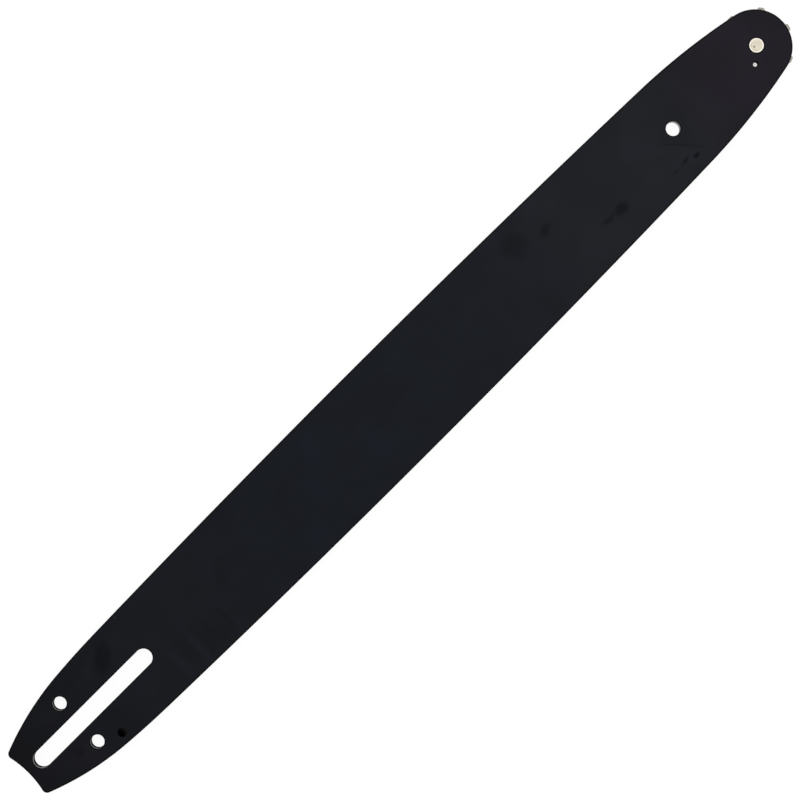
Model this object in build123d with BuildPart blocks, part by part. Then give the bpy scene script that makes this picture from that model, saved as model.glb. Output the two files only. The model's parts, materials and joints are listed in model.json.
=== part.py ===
from build123d import *
import os
from math import asin, degrees, floor, radians, sqrt, tan

# Chainsaw guide bar: three laminations with a roller-bearing sprocket in the nose, lying flat.
# The origin is the middle of the stud slot, halfway through the bar's thickness.
# +Y runs along the bar to the nose, +X to its right-hand edge, +Z out of the front side plate.
# Millimetres and degrees.

# Laminations
side_plate_thickness = 1.45
core_thickness = 1.3
groove_depth = 5.6
rail_edge_break = 0.25

# Stud slot, which the saw's bar studs pass through
stud_slot_width = 8.8
stud_slot_length = 78.0

# Holes that take the chain tensioner's peg, one each side of the slot
tensioner_hole_diameter = 6.8
tensioner_hole_spacing = 25.9
tensioner_holes_from_slot = -9.7

# Oil inlets, one in each side plate, that feed the chain groove
oil_inlet_diameter = 4.5
oil_inlet_from_slot = 1.9

# Hole near the nose that the bar hangs by
hanging_hole_diameter = 7.1
hanging_hole_behind_nose_axis = 56.9

# Bearing in the nose
nose_axis_from_slot = 453.0
rivet_shank_diameter = 6.0
rivet_head_diameter = 7.2
rivet_countersink_angle = 90.0
race_outer_diameter = 15.2
roller_diameter = 2.8
roller_end_break = 0.2
roller_least_gap = 0.02
bearing_clearance = 0.03
side_clearance = 0.05
grease_hole_diameter = 2.8
grease_hole_angle = -47.3

# Nose sprocket
tooth_count = 7
sprocket_tip_radius = 18.75
sprocket_ring_wall = 1.7
tooth_tip_width = 1.8
tooth_tip_fillet = 0.9
tooth_root_fillet = 4.0
sprocket_rest_angle = 75.3
sprocket_pocket_clearance = 0.6
core_horn_fillet = 1.0

# Outline of the nose and the long edges
tooth_reveal = 1.55
nose_setback = 0.95
flank_beyond_nose = 6.35
flank_start_behind_nose_axis = 55.0
edge_bow = 2.48

# Outline of the tail
shoulder_beyond_tensioner = 12.1
shoulder_from_slot = 25.0
shoulder_radius = 463.0
tail_arc_from_slot = -1.6
tail_arc_radius = 149.0
tail_web = 5.0
tail_hollow_radius = 51.2
tail_corner_fillet = 2.6

# Bearing sizes that follow from those
bar_thickness = core_thickness + 2 * side_plate_thickness
sprocket_thickness = core_thickness - 2 * side_clearance
race_radius = race_outer_diameter / 2
roller_radius = roller_diameter / 2
roller_pitch_radius = race_radius + bearing_clearance + roller_radius
sprocket_bore_radius = roller_pitch_radius + roller_radius + bearing_clearance
roller_angle = 2 * degrees(asin((roller_radius + roller_least_gap / 2) / roller_pitch_radius))
roller_count = floor(360 / roller_angle)
nose_axis = Vector(0, nose_axis_from_slot)

# Points and arc centres of the right-hand edge, from the nose back to the tail.
# Each arc starts in the direction in which its neighbour ends.
nose_radius = sprocket_tip_radius - tooth_reveal + nose_setback
nose_centre = nose_axis - Vector(0, nose_setback)
flank_point = Vector(nose_radius + flank_beyond_nose, nose_axis_from_slot - flank_start_behind_nose_axis)
shoulder_point = Vector(tensioner_hole_spacing / 2 + shoulder_beyond_tensioner, shoulder_from_slot)

edge_chord = flank_point - shoulder_point
edge_radius = edge_chord.length**2 / (8 * edge_bow) + edge_bow / 2
edge_outward = Vector(edge_chord.Y, -edge_chord.X).normalized()
edge_middle = shoulder_point + edge_chord * 0.5
edge_centre = edge_middle - edge_outward * (edge_radius - edge_bow)

flank_outward = (flank_point - edge_centre).normalized()
flank_offset = flank_point - nose_centre
flank_height = flank_offset.dot(flank_outward) - nose_radius
flank_radius = (flank_offset.length**2 - nose_radius**2) / (2 * flank_height)
flank_centre = flank_point - flank_outward * flank_radius
nose_outward = (nose_centre - flank_centre).normalized()

shoulder_outward = (shoulder_point - edge_centre).normalized()
shoulder_centre = shoulder_point - shoulder_outward * shoulder_radius
tail_rise = tail_arc_from_slot - shoulder_centre.Y
tail_outward = Vector(sqrt(shoulder_radius**2 - tail_rise**2), tail_rise).normalized()
tail_centre = shoulder_centre + tail_outward * (shoulder_radius - tail_arc_radius)

tail_middle = Vector(0, -stud_slot_length / 2 - tail_web)
tail_hollow_centre = tail_middle - Vector(0, tail_hollow_radius)
sprocket_pocket_radius = sprocket_tip_radius + sprocket_pocket_clearance


def circle_crossings(centre_a, radius_a, centre_b, radius_b):
    """The two points where one circle crosses another."""
    span = centre_b - centre_a
    along = (span.length**2 + radius_a**2 - radius_b**2) / (2 * span.length)
    aside = sqrt(radius_a**2 - along**2)
    foot = centre_a + span.normalized() * along
    sideways = Vector(-span.Y, span.X).normalized() * aside
    return [foot + sideways, foot - sideways]


def tail_corner(inset):
    """Where the edge, moved in by inset, meets the hollow tail end."""
    edge_circle = (tail_centre, tail_arc_radius - inset)
    crossings = circle_crossings(*edge_circle, tail_hollow_centre, tail_hollow_radius)
    return max(crossings, key=lambda point: point.X)


def edge_arcs(inset, nose_end):
    """Start, end and radius of each arc of the right-hand edge, moved in by inset, from tail to nose."""
    tail_join = tail_centre + tail_outward * (tail_arc_radius - inset)
    shoulder_join = shoulder_centre + shoulder_outward * (shoulder_radius - inset)
    flank_join = flank_centre + flank_outward * (flank_radius - inset)
    return [
        (tail_corner(inset), tail_join, tail_arc_radius - inset),
        (tail_join, shoulder_join, shoulder_radius - inset),
        (shoulder_join, flank_join, edge_radius - inset),
        (flank_join, nose_end, flank_radius - inset),
    ]


def mirrored(point):
    """The same point on the left-hand edge."""
    return Vector(-point.X, point.Y)


def edge_half_width(along):
    """Distance from the bar's middle line to its edge, at a place given from the middle of the slot."""
    centre, radius = edge_centre, edge_radius
    if along < shoulder_from_slot:
        centre, radius = shoulder_centre, shoulder_radius
    if along < tail_arc_from_slot:
        centre, radius = tail_centre, tail_arc_radius
    return centre.X + sqrt(radius**2 - (along - centre.Y) ** 2)


# The oil inlets are centred on the bottom of the groove, so half of each opens into it
oil_inlet_offset = edge_half_width(oil_inlet_from_slot) - groove_depth
tensioner_spots = [
    (-tensioner_hole_spacing / 2, tensioner_holes_from_slot),
    (tensioner_hole_spacing / 2, tensioner_holes_from_slot),
]
hanging_spot = (0, nose_axis_from_slot - hanging_hole_behind_nose_axis)

# Each grease hole opens over the ring of rollers
grease_spot = nose_axis + Vector(roller_pitch_radius, 0).rotate(Axis.Z, grease_hole_angle)

os.makedirs("parts", exist_ok=True)

# Outline of the side plates: the whole bar seen from the front
with BuildSketch() as bar_outline:
    nose_join = nose_centre + nose_outward * nose_radius
    with BuildLine():
        for start, end, radius in edge_arcs(0, nose_join):
            RadiusArc(start, end, -radius)
        mirror(about=Plane.YZ)
        ThreePointArc(nose_join, nose_centre + Vector(0, nose_radius), mirrored(nose_join))
        ThreePointArc(tail_corner(0), tail_middle, mirrored(tail_corner(0)))
    make_face()
    fillet(bar_outline.vertices().group_by(Axis.Y)[0], radius=tail_corner_fillet)

# Outline of the core: set back by the depth of the groove, hollowed at the front round the sprocket
with BuildSketch() as core_outline:
    horn_tip = min(
        circle_crossings(flank_centre, flank_radius - groove_depth, nose_axis, sprocket_pocket_radius),
        key=lambda point: point.Y,
    )
    with BuildLine():
        for start, end, radius in edge_arcs(groove_depth, horn_tip):
            RadiusArc(start, end, -radius)
        mirror(about=Plane.YZ)
        ThreePointArc(horn_tip, nose_axis - Vector(0, sprocket_pocket_radius), mirrored(horn_tip))
        ThreePointArc(tail_corner(groove_depth), tail_middle, mirrored(tail_corner(groove_depth)))
    make_face()
    fillet(core_outline.vertices().group_by(Axis.Y)[-1], radius=core_horn_fillet)

# Openings that run through all three laminations
with BuildSketch() as through_openings:
    SlotOverall(stud_slot_length, stud_slot_width, rotation=90)
    with Locations(*tensioner_spots):
        Circle(tensioner_hole_diameter / 2)
    with Locations(hanging_spot):
        Circle(hanging_hole_diameter / 2)

# Front side plate, with its own oil inlet and grease hole and a countersunk rivet hole
with BuildPart() as front_side_plate:
    with BuildSketch(Plane.XY.offset(core_thickness / 2)):
        add(bar_outline.sketch)
        add(through_openings.sketch, mode=Mode.SUBTRACT)
        with Locations((oil_inlet_offset, oil_inlet_from_slot)):
            Circle(oil_inlet_diameter / 2, mode=Mode.SUBTRACT)
        with Locations(grease_spot):
            Circle(grease_hole_diameter / 2, mode=Mode.SUBTRACT)
    extrude(amount=side_plate_thickness)
    outer_face = front_side_plate.faces().sort_by(Axis.Z)[-1]
    chamfer(outer_face.outer_wire().edges(), length=rail_edge_break)
    with Locations((nose_axis.X, nose_axis.Y, bar_thickness / 2)):
        CounterSinkHole(
            radius=rivet_shank_diameter / 2,
            counter_sink_radius=rivet_head_diameter / 2,
            counter_sink_angle=rivet_countersink_angle,
        )

front_side_plate.part.label = "front_side_plate"
export_step(front_side_plate.part, "parts/front_side_plate.step")

# Back side plate: the same stamping turned over about the bar's long axis
with BuildPart() as back_side_plate:
    add(front_side_plate.part, rotation=(0, 180, 0))

back_side_plate.part.label = "back_side_plate"
export_step(back_side_plate.part, "parts/back_side_plate.step")

# Core plate, notched at the edge where each oil inlet opens into the groove
with BuildPart() as core_plate:
    with BuildSketch(Plane.XY.offset(-core_thickness / 2)):
        add(core_outline.sketch)
        add(through_openings.sketch, mode=Mode.SUBTRACT)
        with Locations((oil_inlet_offset, oil_inlet_from_slot), (-oil_inlet_offset, oil_inlet_from_slot)):
            Circle(oil_inlet_diameter / 2, mode=Mode.SUBTRACT)
    extrude(amount=core_thickness)

core_plate.part.label = "core_plate"
export_step(core_plate.part, "parts/core_plate.step")

# Nose sprocket, which turns on the rollers: parallel-sided teeth on a ring, with wide fillets at their roots
gullet_radius = sprocket_bore_radius + sprocket_ring_wall
tooth_width = tooth_tip_width + 2 * tooth_tip_fillet
with BuildPart() as nose_sprocket:
    with BuildSketch(Plane((0, nose_axis_from_slot, -sprocket_thickness / 2))) as sprocket_profile:
        with PolarLocations(0, tooth_count, start_angle=sprocket_rest_angle):
            Rectangle(sprocket_pocket_radius, tooth_width, align=(Align.MIN, Align.CENTER))
        Circle(sprocket_tip_radius, mode=Mode.INTERSECT)
        Circle(gullet_radius)
        fillet(sprocket_profile.vertices().group_by(SortBy.DISTANCE)[0], radius=tooth_root_fillet)
        fillet(sprocket_profile.vertices().group_by(SortBy.DISTANCE)[-1], radius=tooth_tip_fillet)
        Circle(sprocket_bore_radius, mode=Mode.SUBTRACT)
    extrude(amount=sprocket_thickness)

nose_sprocket.part.label = "nose_sprocket"
export_step(nose_sprocket.part, "parts/nose_sprocket.step")

# Inner race, clamped between the side plates by the rivet
with BuildPart() as bearing_inner_race:
    with BuildSketch(Plane((0, nose_axis_from_slot, -core_thickness / 2))):
        Circle(race_radius)
        Circle(rivet_shank_diameter / 2, mode=Mode.SUBTRACT)
    extrude(amount=core_thickness)

bearing_inner_race.part.label = "bearing_inner_race"
export_step(bearing_inner_race.part, "parts/bearing_inner_race.step")

# Needle rollers, a full ring of them with no cage, the first under the front plate's grease hole
for index in range(roller_count):
    roller_turn = grease_hole_angle + index * 360 / roller_count
    roller_spot = nose_axis + Vector(roller_pitch_radius, 0).rotate(Axis.Z, roller_turn)
    roller_name = f"needle_roller_{index + 1:02d}"
    with BuildPart() as needle_roller:
        with BuildSketch(Plane((roller_spot.X, roller_spot.Y, -sprocket_thickness / 2))):
            Circle(roller_radius)
        extrude(amount=sprocket_thickness)
        chamfer(needle_roller.edges().filter_by(GeomType.CIRCLE), length=roller_end_break)

    needle_roller.part.label = roller_name
    export_step(needle_roller.part, f"parts/{roller_name}.step")

# Rivet, with both heads swaged flush into the countersinks
head_overhang = (rivet_head_diameter - rivet_shank_diameter) / 2
head_height = head_overhang / tan(radians(rivet_countersink_angle / 2))
with BuildPart() as nose_rivet:
    with BuildSketch(Plane(nose_axis, x_dir=(1, 0, 0), z_dir=(0, -1, 0))):
        with BuildLine():
            Polyline(
                (0, -bar_thickness / 2),
                (rivet_head_diameter / 2, -bar_thickness / 2),
                (rivet_shank_diameter / 2, -bar_thickness / 2 + head_height),
                (rivet_shank_diameter / 2, bar_thickness / 2 - head_height),
                (rivet_head_diameter / 2, bar_thickness / 2),
                (0, bar_thickness / 2),
                close=True,
            )
        make_face()
    revolve(axis=Axis(nose_axis, (0, 0, 1)))

nose_rivet.part.label = "nose_rivet"
export_step(nose_rivet.part, "parts/nose_rivet.step")
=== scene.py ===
"""Dresses a laminated sprocket-nose guide bar for a chainsaw, and lights it for its portrait.

The bar lies flat on a pale floor. The origin is the middle of the stud slot, halfway through the bar's
thickness, with the nose along +Y and the front face along +Z. Sizes are in millimetres unless the words
beside them say otherwise, and MM turns them into the frame's metres.
"""

import json
import logging
import math
from collections.abc import Iterable, Mapping
from dataclasses import dataclass
from enum import Enum
from functools import cache

import bmesh
import bpy
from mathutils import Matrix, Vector
from mathutils.kdtree import KDTree


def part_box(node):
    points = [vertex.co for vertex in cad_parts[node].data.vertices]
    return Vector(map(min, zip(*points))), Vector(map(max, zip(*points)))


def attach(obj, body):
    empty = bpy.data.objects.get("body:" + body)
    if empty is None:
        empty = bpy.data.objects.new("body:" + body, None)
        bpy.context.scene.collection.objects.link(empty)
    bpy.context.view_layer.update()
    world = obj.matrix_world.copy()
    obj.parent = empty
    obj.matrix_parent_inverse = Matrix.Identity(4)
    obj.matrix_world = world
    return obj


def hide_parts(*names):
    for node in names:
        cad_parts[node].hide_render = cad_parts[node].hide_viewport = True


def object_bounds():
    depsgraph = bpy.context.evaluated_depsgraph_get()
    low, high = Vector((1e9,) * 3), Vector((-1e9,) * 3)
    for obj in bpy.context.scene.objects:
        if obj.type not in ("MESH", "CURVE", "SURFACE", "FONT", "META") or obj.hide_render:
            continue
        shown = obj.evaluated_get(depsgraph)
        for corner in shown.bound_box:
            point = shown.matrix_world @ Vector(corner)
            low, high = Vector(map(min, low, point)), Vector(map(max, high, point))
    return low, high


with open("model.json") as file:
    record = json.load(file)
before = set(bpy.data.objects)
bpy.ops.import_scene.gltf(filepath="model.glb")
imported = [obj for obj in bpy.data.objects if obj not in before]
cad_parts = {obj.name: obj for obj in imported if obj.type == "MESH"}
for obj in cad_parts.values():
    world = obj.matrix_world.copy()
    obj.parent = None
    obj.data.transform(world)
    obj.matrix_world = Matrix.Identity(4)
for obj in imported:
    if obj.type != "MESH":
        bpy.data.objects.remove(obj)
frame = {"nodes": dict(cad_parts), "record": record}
CAD_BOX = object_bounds()

MM = 0.001
LOG = logging.getLogger("guide_bar")

# Corners closer than this are one corner, in metres
MERGE_DISTANCE = 0.002 * MM
# Faces that turn by less than the first are one flat face, by less than the second share their shading, and
# by more than the third meet at an edge, in radians
FLAT_WITHIN = math.radians(0.05)
SMOOTH_WITHIN = math.radians(40.0)
EDGE_FROM = math.radians(30.0)
# How much of a face's direction is along Z: more than the first for a level face, and less than the second
# for a wall
LEVEL_FROM = 0.95
UPRIGHT_UP_TO = 0.5
# A face whose middle is no further than this outside an opening is part of the opening's wall
WALL_WITHIN = 0.05
# Chords of a rim whose lengths differ by no more than this share can belong to one arc
CHORDS_ALIKE = 0.02
# How many layers of ever finer noise a pattern has
SMOOTH_NOISE = 1.0
GENTLE_NOISE = 1.5
SOFT_NOISE = 2.0
FINE_NOISE = 3.0
ROUGH_NOISE = 4.0
# The middle of a noise's values
NOISE_MIDDLE = 0.5
# Multiplied into a vector, this keeps its level part
LEVEL_PART = (1.0, 1.0, 0.0)


def linear(colour: str) -> tuple[float, float, float, float]:
    """Turns a written sRGB colour into the linear colour that a shader takes.

    Args:
        colour: The colour as a hex value, such as "#1c1c1e".

    Returns:
        Red, green, blue and alpha.
    """
    shares = [int(colour[start:start + 2], 16) / 255 for start in (1, 3, 5)]
    red, green, blue = (s / 12.92 if s <= 0.04045 else ((s + 0.055) / 1.055) ** 2.4 for s in shares)
    return red, green, blue, 1.0


def per_metre(size_mm: float) -> float:
    """The texture scale that makes a pattern's features this many millimetres wide."""
    return 1 / (size_mm * MM)


def metres(*sizes_mm: float) -> Vector:
    """A vector of sizes in millimetres, turned into metres."""
    return Vector(sizes_mm) * MM


def add_node(
    tree: bpy.types.NodeTree, kind: str, inputs: Mapping[str | int, object] | None = None, **settings: object
) -> bpy.types.Node:
    """Adds one shader node, gives it its settings, and sets or links its inputs.

    Args:
        tree: The node tree that takes the node.
        kind: The node's type, without the word ShaderNode in front.
        inputs: What each named or numbered input takes: a value, an output socket, or a node, which stands
            for the first output that it has in use.
        **settings: The node's own properties, by name.

    Returns:
        The new node.
    """
    made = tree.nodes.new("ShaderNode" + kind)
    for name, value in settings.items():
        setattr(made, name, value)
    for key, value in (inputs or {}).items():
        in_use = [socket for socket in made.inputs if socket.enabled and socket.name == key]
        target = in_use[0] if in_use else made.inputs[key]
        if isinstance(value, bpy.types.Node):
            value = next(output for output in value.outputs if output.enabled)
        if isinstance(value, bpy.types.NodeSocket):
            tree.links.new(value, target)
        else:
            target.default_value = value
    return made


def new_material(name: str) -> tuple[bpy.types.Material, bpy.types.NodeTree]:
    """Makes an empty node material.

    Args:
        name: What the finish is.

    Returns:
        The material and its node tree.
    """
    material = bpy.data.materials.new(name)
    material.use_nodes = True
    material.node_tree.nodes.clear()
    return material, material.node_tree


def nose_axis() -> Vector:
    """The point where the sprocket's axis crosses the bar's middle plane, in metres."""
    low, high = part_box("nose_rivet")
    return (low + high) / 2


class Side(Enum):
    """The two faces of the bar, by the sign of their direction along Z."""

    FRONT = 1
    BACK = -1


class PlateSurface(Enum):
    """What a face of a plate is finished as, by its place among the piece's materials."""

    FACE = 0
    CLEAN_WALL = 1
    SHADED_WALL = 2
    SLOT_WALL = 3
    GROOVE_WALL = 4


class BearingSurface(Enum):
    """What a face of the race or a roller is finished as, by its place among the piece's materials."""

    GROUND = 0
    GREASED_AND_SHADED = 1


class Mark(Enum):
    """The kinds of mark that handling leaves on dark paint."""

    BLOT = "a dull dark blot from a thumb"
    RUB = "a dark rub or smear with even sides"
    # A SHEEN mark is a wiped streak drawn paler in the colour: painted sheen
    SHEEN = "a paler patch where a cloth has wiped"
    NICK = "a nick down to the steel"


class Lay(Enum):
    """Which way the fine lines of a ground surface run."""

    STRAIGHT = "along one line"
    ROUND = "round the nose axis"


@dataclass(frozen=True)
class HandMark:
    """One mark on the paint of a side plate.

    Attributes:
        kind: What left it.
        across: Its middle, from the bar's middle line towards +X.
        along: Its middle, from the slot's middle towards the nose.
        width: Its size across its own length.
        length: Its longer size.
        turn: The angle of its length from the bar's long axis, in degrees, towards -X.
        depth: How much of it shows, from 0 to 1.
        side: Which face of the bar it is on.
    """

    kind: Mark
    across: float
    along: float
    width: float
    length: float
    turn: float
    depth: float
    side: Side = Side.FRONT


@dataclass(frozen=True)
class Opening:
    """A round-ended opening that is punched in the plates.

    Attributes:
        across: Its middle, from the bar's middle line towards +X.
        along: Its middle, from the slot's middle towards the nose.
        radius: The radius of its ends.
        straight: The length of its straight sides along Y.
        surface: The finish of its wall.
    """

    across: float
    along: float
    radius: float
    straight: float = 0.0
    surface: PlateSurface = PlateSurface.FACE

    def holds(self, point: Vector, margin: float) -> bool:
        """Says whether a point lies in the opening, or no further than a margin outside its wall.

        Args:
            point: The point, in metres.
            margin: The margin, in millimetres.

        Returns:
            True where it does.
        """
        past_straight = max(abs(point.y / MM - self.along) - self.straight / 2, 0.0)
        return math.hypot(point.x / MM - self.across, past_straight) < self.radius + margin


# A feed hole goes through one side plate. These are the front plate's, and the back plate has them at -X
OIL_INLET = Opening(18.29, 1.9, 2.25)
GREASE_HOLE = Opening(6.12, 446.36, 1.4)


def punched_openings() -> list[Opening]:
    """Reads the stud slot, the tensioner holes and the hanging hole from the record's mounts.

    Returns:
        The openings that go through the whole bar.
    """
    found = []
    for mount in frame["record"]["mounts"]:
        across, along, _ = (place / MM for place in mount["pos_m"])
        sizes = mount["dims"]
        if mount["kind"] == "bore":
            surface = PlateSurface.CLEAN_WALL if mount["name"] == "hanging_hole" else PlateSurface.SHADED_WALL
            found.append(Opening(across, along, sizes["r_mm"], surface=surface))
        elif mount["kind"] == "bolt_pattern":
            radius = sizes["hole_r_mm"]
            straight = sizes["slot_length_mm"] - 2 * radius
            found.append(Opening(across, along, radius, straight, PlateSurface.SLOT_WALL))
    return found


@dataclass(frozen=True)
class BlackEnamel:
    """Satin black stoving enamel, sprayed on stamped steel and baked.

    It gives the eye a near-black with a soft broad sheen and no mirror. It drifts from plain black at the
    tail through blue-black to plum-black at the nose, under a faint orange peel, and grows lighter towards
    the nose, partly in its own hue and partly as painted sheen for the light on the nose. Handling has left
    dull blots, dark rubs, paler wiped streaks drawn as painted sheen, and nicks. Edges, hole rims and the
    walls of the feed holes are lined by deeper black, which is painted shade.

    Attributes:
        tail_black: The paint at the tail.
        blue_black: The paint round the slot.
        ink_black: The paint in the middle of the bar.
        slate_black: The paint further on.
        plum_black: The paint at the nose.
        violet_black: The paint in patches near the tail.
        blotted: The colour under a blot or a rub.
        wiped: The colour of a wiped streak, drawn paler as painted sheen.
        nicked: The colour in a nick.
        painted_edge_shade: The colour of the painted shade along the edges.
        roughness: The roughness of clean paint.
        dull_roughness: The roughness of blots and edges.
        specular: How much the paint mirrors. Baked satin enamel mirrors little.
        blue_over: Where blue-black takes over, along the bar.
        ink_over: Where ink-black does.
        slate_over: Where slate-black does.
        plum_over: Where plum-black does.
        drift_size: The size of the bends in those borders.
        drift_reach: How far they bend.
        violet_size: The size of the violet patches.
        violet_over: The values of their noise where a patch begins and where it is full.
        violet_share: How much of the violet shows there.
        cloud_size: The size of faint clouds in the paint.
        cloud_over: The values of their noise that are darkest and lightest.
        cloud_levels: How light the paint is there.
        peel_size: The width of the orange peel's dimples.
        peel_height: Their depth.
        wander_size: The size of the bends in a blot's outline.
        wander_reach: How far they bend.
        mark_fade: Where a mark is gone and where it is full, as shares of its half size.
        mark_skin: How far down the wall of a hole a mark reaches.
        marks: The marks.
    """

    # The blacks grow lighter towards the nose: partly the paint's drift, partly painted sheen for the light
    # there
    tail_black: str = "#0f0f14"
    blue_black: str = "#13161c"
    ink_black: str = "#11151d"
    slate_black: str = "#181a20"
    plum_black: str = "#1c1821"
    violet_black: str = "#17161d"
    blotted: str = "#06080f"
    wiped: str = "#1b1e25"
    nicked: str = "#2b2f33"
    # Near-black for the painted shade along every edge
    painted_edge_shade: str = "#010101"
    roughness: float = 0.45
    dull_roughness: float = 0.6
    specular: float = 0.1
    blue_over: tuple[float, float] = (-45.0, 25.0)
    ink_over: tuple[float, float] = (60.0, 140.0)
    slate_over: tuple[float, float] = (250.0, 350.0)
    plum_over: tuple[float, float] = (375.0, 450.0)
    drift_size: float = 70.0
    drift_reach: float = 90.0
    violet_size: float = 35.0
    violet_over: tuple[float, float] = (0.48, 0.66)
    violet_share: float = 0.6
    cloud_size: float = 24.0
    cloud_over: tuple[float, float] = (0.3, 0.7)
    cloud_levels: tuple[float, float] = (0.84, 1.16)
    peel_size: float = 1.5
    peel_height: float = 0.006
    wander_size: float = 6.0
    wander_reach: float = 4.0
    mark_fade: tuple[float, float] = (1.15, 0.35)
    mark_skin: float = 1.0
    marks: tuple[HandMark, ...] = (
        HandMark(Mark.BLOT, -14.0, 20.5, 11.0, 22.0, 50.0, 0.85),
        HandMark(Mark.BLOT, 10.7, -19.5, 6.0, 8.0, 20.0, 0.55),
        HandMark(Mark.BLOT, -18.0, 7.0, 6.5, 28.0, 15.0, 0.4),
        HandMark(Mark.BLOT, -2.0, 91.0, 13.0, 18.0, 60.0, 0.3),
        HandMark(Mark.BLOT, -14.0, 301.5, 16.0, 17.0, 15.0, 0.42),
        HandMark(Mark.BLOT, -9.3, 317.5, 5.0, 9.0, 30.0, 0.62),
        HandMark(Mark.BLOT, 10.2, 351.2, 6.5, 9.0, 0.0, 0.78),
        HandMark(Mark.BLOT, 9.0, 343.0, 2.8, 10.0, 0.0, 0.65),
        HandMark(Mark.BLOT, 17.3, 395.3, 3.2, 4.6, 0.0, 1.0),
        HandMark(Mark.BLOT, 14.8, 389.1, 2.4, 5.8, 5.0, 0.75),
        HandMark(Mark.BLOT, 15.9, 383.4, 3.0, 6.5, -5.0, 0.35),
        HandMark(Mark.RUB, 7.4, -17.0, 6.0, 30.0, 0.0, 0.35),
        HandMark(Mark.RUB, -7.4, -12.0, 6.0, 22.0, 0.0, 0.3),
        HandMark(Mark.RUB, -22.0, 14.0, 6.0, 32.0, 3.0, 0.4),
        HandMark(Mark.RUB, 13.0, 63.0, 24.0, 46.0, 0.0, 0.22),
        HandMark(Mark.RUB, 8.2, 393.0, 1.4, 29.0, -47.0, 0.45),
        HandMark(Mark.RUB, 10.2, 19.5, 1.2, 12.0, 90.0, 0.4),
        HandMark(Mark.RUB, 12.5, 61.5, 2.0, 21.0, 90.0, 0.4),
        HandMark(Mark.RUB, 10.5, 66.5, 2.2, 14.0, 90.0, 0.5),
        HandMark(Mark.RUB, 14.0, 76.5, 3.0, 19.0, 90.0, 0.35),
        HandMark(Mark.SHEEN, 14.0, 57.6, 5.4, 25.0, 90.0, 0.65),
        HandMark(Mark.SHEEN, 14.5, 45.8, 6.0, 21.0, 90.0, 0.5),
        HandMark(Mark.SHEEN, 13.0, 79.4, 1.4, 22.0, 90.0, 0.4),
        HandMark(Mark.SHEEN, -1.5, 380.0, 9.0, 34.0, -40.0, 0.5),
        HandMark(Mark.SHEEN, 15.0, 389.0, 12.0, 24.0, 0.0, 0.6),
        HandMark(Mark.SHEEN, -16.6, 411.6, 9.0, 14.0, 0.0, 0.4),
        HandMark(Mark.NICK, -23.4, 38.5, 0.8, 1.3, 20.0, 1.0),
        HandMark(Mark.BLOT, 9.0, 62.0, 11.0, 15.0, 25.0, 0.7, Side.BACK),
        HandMark(Mark.BLOT, -12.0, 168.0, 9.0, 14.0, -20.0, 0.45, Side.BACK),
        HandMark(Mark.BLOT, 6.0, 289.0, 5.0, 8.0, 40.0, 0.6, Side.BACK),
        HandMark(Mark.BLOT, -8.5, 428.0, 4.0, 7.0, 10.0, 0.7, Side.BACK),
        HandMark(Mark.RUB, -4.0, 371.0, 1.6, 30.0, 35.0, 0.45, Side.BACK),
        HandMark(Mark.RUB, 14.0, 120.0, 1.4, 18.0, 80.0, 0.4, Side.BACK),
        HandMark(Mark.SHEEN, -3.0, 225.0, 8.0, 36.0, 50.0, 0.5, Side.BACK),
        HandMark(Mark.SHEEN, 12.0, 41.0, 5.0, 20.0, 90.0, 0.5, Side.BACK),
        HandMark(Mark.NICK, 22.6, 301.0, 0.8, 1.2, -15.0, 1.0, Side.BACK),
    )

    def strayed(self, tree: bpy.types.NodeTree, place: bpy.types.NodeSocket) -> bpy.types.Node:
        """Pushes points about at random, which frays the outline of a mark.

        Args:
            tree: The paint's node tree.
            place: The socket that gives the point on the surface.

        Returns:
            The node that gives the pushed point.
        """
        wander = add_node(
            tree, "TexNoise", {"Vector": place, "Scale": per_metre(self.wander_size), "Detail": FINE_NOISE}
        )
        middle = (NOISE_MIDDLE, NOISE_MIDDLE, NOISE_MIDDLE)
        centred = add_node(tree, "VectorMath", {0: wander.outputs["Color"], 1: middle}, operation="SUBTRACT")
        reach = metres(self.wander_reach, self.wander_reach, 0.0)
        offset = add_node(tree, "VectorMath", {0: centred, 1: reach}, operation="MULTIPLY")
        return add_node(tree, "VectorMath", {0: place, 1: offset}, operation="ADD")

    def mark_mask(
        self, tree: bpy.types.NodeTree, place: bpy.types.NodeSocket, *kinds: Mark
    ) -> bpy.types.Node:
        """Draws the hand marks of some kinds as one mask, each on its own face of the bar.

        Args:
            tree: The paint's node tree.
            place: The socket that gives the point on the surface.
            *kinds: The kinds of mark to draw.

        Returns:
            The node that gives the mask, from 0 to 1.
        """
        frayed = self.strayed(tree, place) if Mark.BLOT in kinds else place
        _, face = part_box("front_side_plate")
        gone, full = self.mark_fade
        masks = []
        for mark in self.marks:
            if mark.kind not in kinds:
                continue
            in_mark = add_node(
                tree,
                "Mapping",
                {
                    "Vector": frayed if mark.kind is Mark.BLOT else place,
                    "Location": (mark.across * MM, mark.along * MM, face.z * mark.side.value),
                    "Rotation": (0.0, 0.0, math.radians(mark.turn)),
                    "Scale": metres(mark.width / 2, mark.length / 2, self.mark_skin),
                },
                vector_type="TEXTURE",
            )
            from_middle = add_node(tree, "VectorMath", {0: in_mark}, operation="LENGTH")
            soft = add_node(
                tree,
                "MapRange",
                {"Value": from_middle, "From Min": gone, "From Max": full, "To Max": mark.depth},
                interpolation_type="SMOOTHSTEP",
            )
            masks.append(soft)
        drawn, *others = masks
        for mask in others:
            drawn = add_node(tree, "Math", {0: drawn, 1: mask}, operation="MAXIMUM")
        return drawn

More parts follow.
